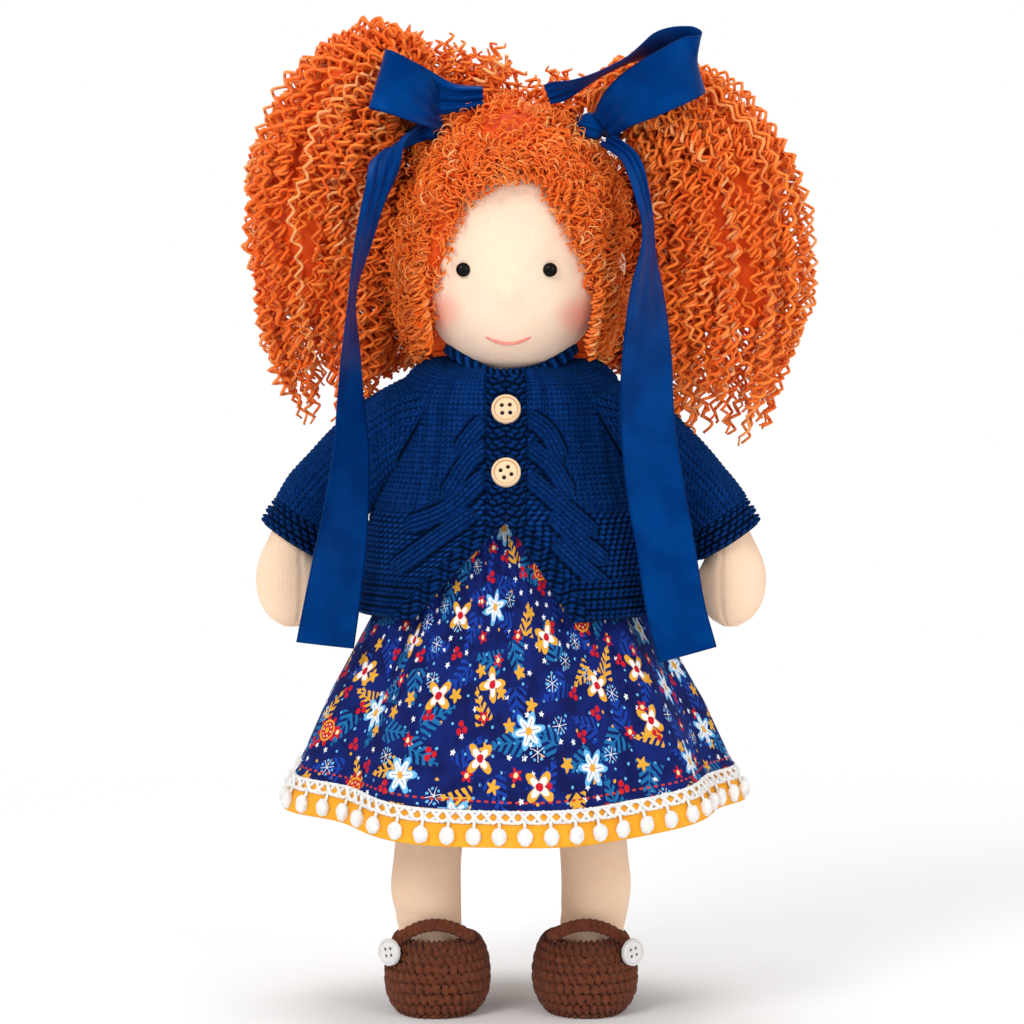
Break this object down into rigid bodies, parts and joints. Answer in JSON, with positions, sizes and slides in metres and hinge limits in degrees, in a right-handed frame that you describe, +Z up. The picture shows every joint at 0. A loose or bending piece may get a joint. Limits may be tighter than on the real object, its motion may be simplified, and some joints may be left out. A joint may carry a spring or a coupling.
{
  "type": "rag doll",
  "caption": "Soft cloth doll with curly pigtails tied with ribbons, a buttoned knitted jacket, a printed skirt with a lace hem and crocheted strap shoes.",
  "frame": {"origin": "on the floor, at the middle of the bounding box, between the shoes", "axes": "+Z up along the standing body, the face towards -Y, +X to the viewer's right"},
  "size_m": [0.186, 0.1288, 0.323],
  "materials": {
    "skin": "fine knitted cotton, peach",
    "wool": "loose sheep's wool stuffing",
    "eye": "glossy black bead",
    "pink_thread": "pink embroidery thread",
    "hair": "curly wool locks, ginger orange",
    "navy_elastic": "covered elastic, navy",
    "ribbon": "satin ribbon, navy",
    "knit": "hand-knitted cotton yarn, navy",
    "print_cotton": "printed cotton on dark blue",
    "mustard_cotton": "plain cotton, mustard",
    "lace": "white crochet lace with drops",
    "wooden_button": "pale turned wood, waxed",
    "white_thread": "white sewing thread",
    "white_button": "pearly white button",
    "crochet": "crocheted yarn, brown"
  },
  "bodies": {
    "torso": {"torso_skin": "skin", "torso_wool_core": "wool", "dress_bodice": "print_cotton", "dress_collar": "mustard_cotton", "skirt": "print_cotton", "hem_band": "mustard_cotton", "pompom_lace": "lace", "cardigan_front_left": "knit", "cardigan_front_right": "knit", "front_band_left": "knit", "front_band_right": "knit", "cardigan_back": "knit", "neckband": "knit", "cardigan_button_upper": "wooden_button", "cardigan_button_lower": "wooden_button"},
    "head": {"head_skin": "skin", "head_wool_core": "wool", "eye_left": "eye", "eye_right": "eye", "mouth_thread": "pink_thread", "hair_cap": "hair", "ear_left": "skin", "ear_right": "skin", "pigtail_left": "hair", "pigtail_right": "hair", "hair_tie_left": "navy_elastic", "hair_tie_right": "navy_elastic", "ribbon_left_knot": "ribbon", "ribbon_right_knot": "ribbon", "ribbon_left_bow": "ribbon", "ribbon_right_bow": "ribbon", "ribbon_left_tail": "ribbon", "ribbon_right_tail": "ribbon"},
    "arm_left": {"arm_left_skin": "skin", "arm_left_wool_core": "wool", "sleeve_left": "knit", "cuff_left": "knit"},
    "arm_right": {"arm_right_skin": "skin", "arm_right_wool_core": "wool", "sleeve_right": "knit", "cuff_right": "knit"},
    "hips": {"seat_roll": "skin"},
    "leg_left": {"leg_left_skin": "skin", "leg_left_wool_core": "wool", "shoe_left": "crochet", "shoe_button_left_thread": "white_thread", "shoe_button_left": "white_button"},
    "leg_right": {"leg_right_skin": "skin", "leg_right_wool_core": "wool", "shoe_right": "crochet", "shoe_button_right_thread": "white_thread", "shoe_button_right": "white_button"},
    "strap_left": {"shoe_strap_left": "crochet"},
    "strap_right": {"shoe_strap_right": "crochet"}
  },
  "joints": [
    {"name": "head_turn", "type": "hinge", "parent": "torso", "child": "head", "pos_m": [0, 0, 0.205], "axis": [0, 0, 1], "range_deg": [-30, 30], "deforming": ["ribbon_left_tail", "ribbon_right_tail"]},
    {"name": "arm_left_swing", "type": "hinge", "parent": "torso", "child": "arm_left", "pos_m": [-0.037, 0, 0.19], "axis": [-1, 0, 0], "range_deg": [-25, 70]},
    {"name": "arm_right_swing", "type": "hinge", "parent": "torso", "child": "arm_right", "pos_m": [0.037, 0, 0.19], "axis": [-1, 0, 0], "range_deg": [-25, 70]},
    {"name": "sit_bend", "type": "hinge", "parent": "torso", "child": "hips", "pos_m": [0, 0, 0.108], "axis": [-1, 0, 0], "range_deg": [0, 80], "deforming": ["skirt", "hem_band", "pompom_lace"]},
    {"name": "leg_left_swing", "type": "hinge", "parent": "hips", "child": "leg_left", "pos_m": [-0.0195, 0, 0.108], "axis": [-1, 0, 0], "range_deg": [-20, 10]},
    {"name": "leg_right_swing", "type": "hinge", "parent": "hips", "child": "leg_right", "pos_m": [0.0195, 0, 0.108], "axis": [-1, 0, 0], "range_deg": [-20, 10]},
    {"name": "strap_left_lift", "type": "hinge", "parent": "leg_left", "child": "strap_left", "pos_m": [-0.0128, -0.0132, 0.0254], "axis": [0, 1, 0], "range_deg": [0, 100]},
    {"name": "strap_right_lift", "type": "hinge", "parent": "leg_right", "child": "strap_right", "pos_m": [0.0128, -0.0132, 0.0254], "axis": [0, -1, 0], "range_deg": [0, 100]}
  ]
}
